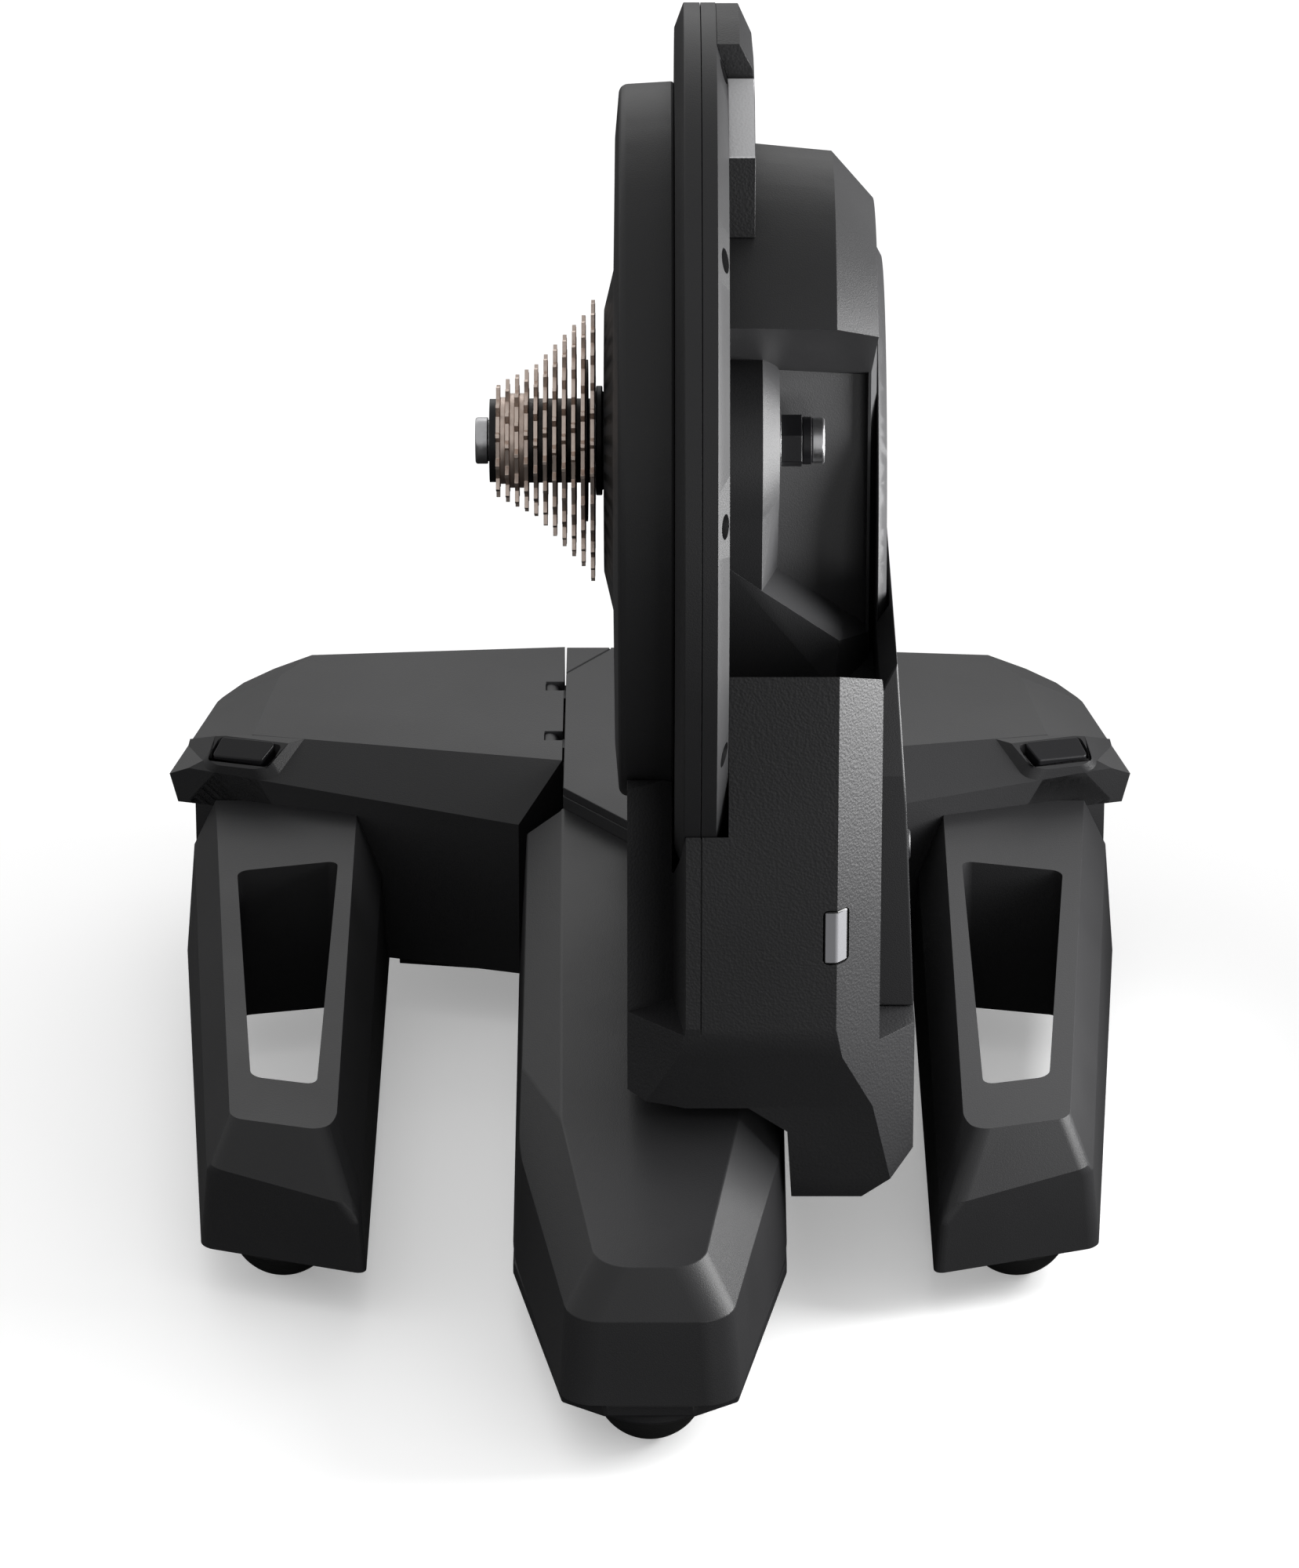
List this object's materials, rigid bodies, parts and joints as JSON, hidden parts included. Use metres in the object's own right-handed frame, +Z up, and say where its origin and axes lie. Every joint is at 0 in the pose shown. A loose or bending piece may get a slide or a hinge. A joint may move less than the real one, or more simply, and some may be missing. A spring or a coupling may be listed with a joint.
{
  "type": "direct drive bike trainer",
  "caption": "Indoor bike trainer with a round drive unit, a cassette, a thru axle, a centre leg and folding wings on domed feet.",
  "frame": {"origin": "centre of the thru axle bore, midway between its two ends", "axes": "+X along the axle away from the cassette, +Y towards the back where the hub and folding wings are, +Z up"},
  "size_m": [0.429, 0.5756, 0.523],
  "materials": {
    "shell": "matte, fine grain",
    "base": "matte",
    "black": "satin",
    "rubber": "matte",
    "silver": "satin",
    "cog": "nickel plated",
    "steel": "zinc plated",
    "dark_steel": "black coated",
    "iron": "satin",
    "magnet": "nickel plated",
    "copper": "enamelled wire",
    "cast": "as cast",
    "board": "solder mask",
    "lens": "translucent grey"
  },
  "bodies": {
    "chassis": {"base_hub": "base", "base_plate": "base", "hub_cover": "shell", "centre_leg_cover": "shell", "centre_leg_frame": "steel", "centre_leg_base": "base", "centre_foot": "rubber", "rear_feet": "rubber", "hinge_brackets": "dark_steel", "hinge_pins": "dark_steel", "drive_cover": "shell", "drive_shell": "shell", "main_shell": "shell", "lower_housing": "shell", "side_cover": "shell", "service_panel": "shell", "grab_handle": "shell", "status_lens": "lens", "light_board": "board", "power_inlet": "black", "side_plug": "black", "rear_housing": "shell", "axle_tube": "silver", "axle_end_left": "silver", "axle_end_right": "silver", "axle_flange_ring": "silver", "axle_sleeve": "black", "seal_ring": "black", "rotor_bearings": "steel", "freehub_bearings": "steel", "stator_core": "iron", "stator_coils": "copper", "stator_mount": "cast", "circuit_board": "board", "shell_screws": "black"},
    "rotor": {"rotor_drum": "iron", "rotor_magnets": "magnet", "hub_flange": "black"},
    "freehub": {"freehub_body": "steel", "cassette_cogs": "cog", "cassette_spacers": "black", "cog_carrier": "black", "lockring": "black"},
    "left_leg": {"left_wing_shell": "shell", "left_wing_base": "base", "left_prong": "shell", "left_button_spring": "steel"},
    "left_button": {"left_release_button": "black"},
    "left_latch": {"left_latch_rod": "steel"},
    "left_foot": {"left_foot_pad": "rubber", "left_foot_stem": "steel"},
    "right_leg": {"right_wing_shell": "shell", "right_wing_base": "base", "right_prong": "shell", "right_button_spring": "steel"},
    "right_button": {"right_release_button": "black"},
    "right_latch": {"right_latch_rod": "steel"},
    "right_foot": {"right_foot_pad": "rubber", "right_foot_stem": "steel"}
  },
  "joints": [
    {"name": "rotor_spin", "type": "hinge", "parent": "chassis", "child": "rotor", "pos_m": [0, 0, 0], "axis": [1, 0, 0], "continuous": true},
    {"name": "freehub_spin", "type": "hinge", "parent": "chassis", "child": "freehub", "pos_m": [0, 0, 0], "axis": [1, 0, 0], "continuous": true},
    {"name": "left_leg_fold", "type": "hinge", "parent": "chassis", "child": "left_leg", "pos_m": [-0.045, 0.272, -0.233], "axis": [0, 1, 0], "range_deg": [0, 90]},
    {"name": "left_button_press", "type": "slide", "parent": "left_leg", "child": "left_button", "axis": [0, 0, -1], "range_m": [0, 0.004], "stiffness_N_per_m": 1500, "springref_m": -0.003, "deforming": ["left_button_spring"]},
    {"name": "left_latch_slide", "type": "slide", "parent": "left_leg", "child": "left_latch", "axis": [-1, 0, 0], "range_m": [0, 0.008]},
    {"name": "left_foot_turn", "type": "hinge", "parent": "left_leg", "child": "left_foot", "pos_m": [-0.1526, -0.065, -0.335], "axis": [0, 0, 1], "range_deg": [-180, 180]},
    {"name": "right_leg_fold", "type": "hinge", "parent": "chassis", "child": "right_leg", "pos_m": [0.104, 0.272, -0.233], "axis": [0, -1, 0], "range_deg": [0, 90]},
    {"name": "right_button_press", "type": "slide", "parent": "right_leg", "child": "right_button", "axis": [0, 0, -1], "range_m": [0, 0.004], "stiffness_N_per_m": 1500, "springref_m": -0.003, "deforming": ["right_button_spring"]},
    {"name": "right_latch_slide", "type": "slide", "parent": "right_leg", "child": "right_latch", "axis": [1, 0, 0], "range_m": [0, 0.008]},
    {"name": "right_foot_turn", "type": "hinge", "parent": "right_leg", "child": "right_foot", "pos_m": [0.1526, -0.065, -0.335], "axis": [0, 0, 1], "range_deg": [-180, 180]}
  ],
  "couplings": [
    {"joint": "left_latch_slide", "follows": "left_button_press", "ratio": 2},
    {"joint": "right_latch_slide", "follows": "right_button_press", "ratio": 2}
  ]
}
